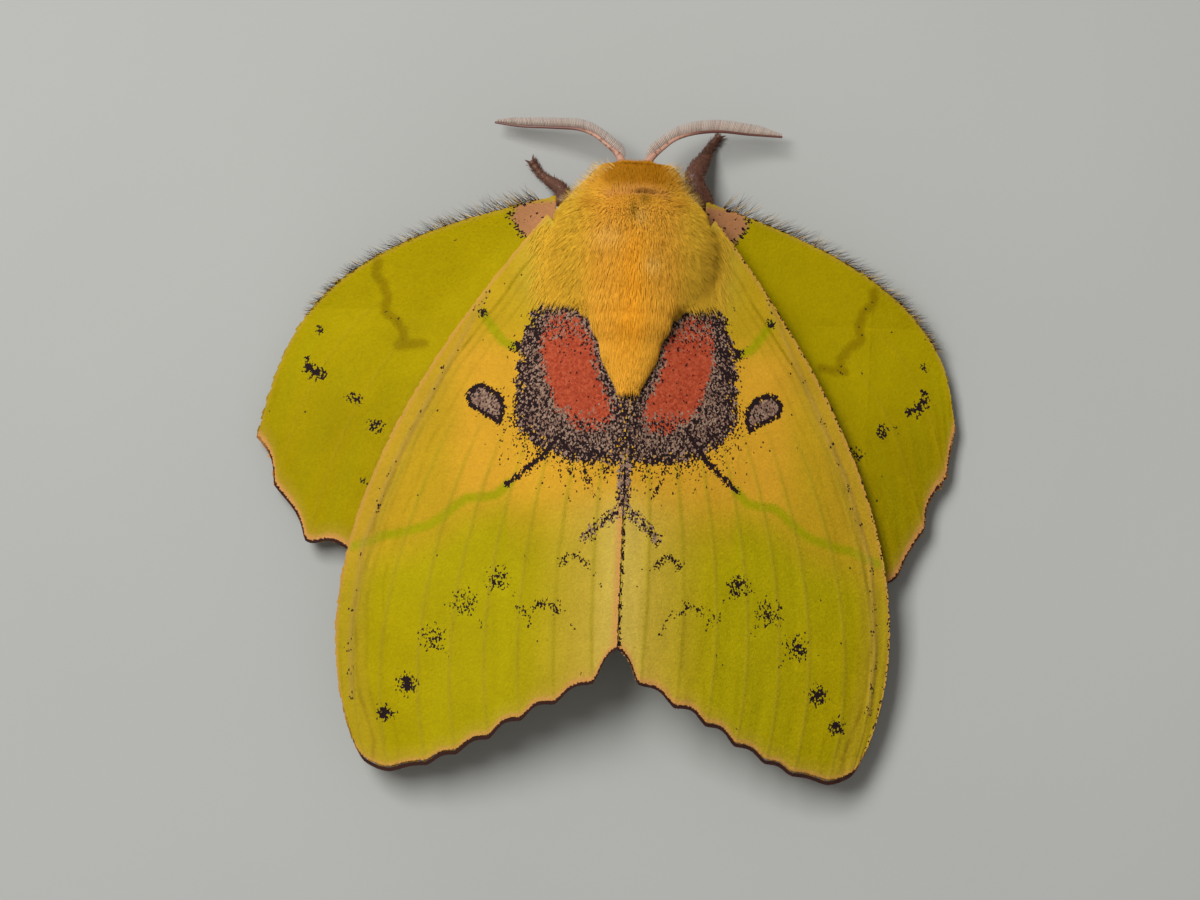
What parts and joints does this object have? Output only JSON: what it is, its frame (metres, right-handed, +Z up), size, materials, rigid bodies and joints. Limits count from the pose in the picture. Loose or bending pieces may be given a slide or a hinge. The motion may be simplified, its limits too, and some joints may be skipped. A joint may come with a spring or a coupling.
{
  "type": "lappet moth",
  "caption": "Life-size still model of a resting female lappet moth, roof-like scalloped forewings over spread hindwings, hairy golden body.",
  "frame": {"origin": "on the floor under the middle of the whole moth's outline", "axes": "+Y to the head, +X to the moth's right side, +Z up from the floor"},
  "size_m": [0.0412, 0.0388, 0.0095],
  "materials": {
    "golden_hair": "dense soft golden to orange body hair, matt with a slight silky sheen",
    "forewing_scales": "matt powdery wing scales, golden yellow inside and yellow-green outside, with red, grey and dark brown marks",
    "hindwing_scales": "matt powdery wing scales, olive yellow with green lines and dark brown spots",
    "brown_hair": "short brown leg and mouthpart hair",
    "feeler_horn": "pinkish tan horny shaft with pale fine combs",
    "eye_lens": "glossy dark brown compound eye"
  },
  "bodies": {
    "root": {"head": "golden_hair", "thorax": "golden_hair", "abdomen": "golden_hair", "eye_left": "eye_lens", "antenna_left": "feeler_horn", "palp_left": "brown_hair", "forewing_left": "forewing_scales", "hindwing_left": "hindwing_scales", "foreleg_left": "brown_hair", "midleg_left": "brown_hair", "hindleg_left": "brown_hair", "eye_right": "eye_lens", "antenna_right": "feeler_horn", "palp_right": "brown_hair", "forewing_right": "forewing_scales", "hindwing_right": "hindwing_scales", "foreleg_right": "brown_hair", "midleg_right": "brown_hair", "hindleg_right": "brown_hair"}
  },
  "joints": []
}
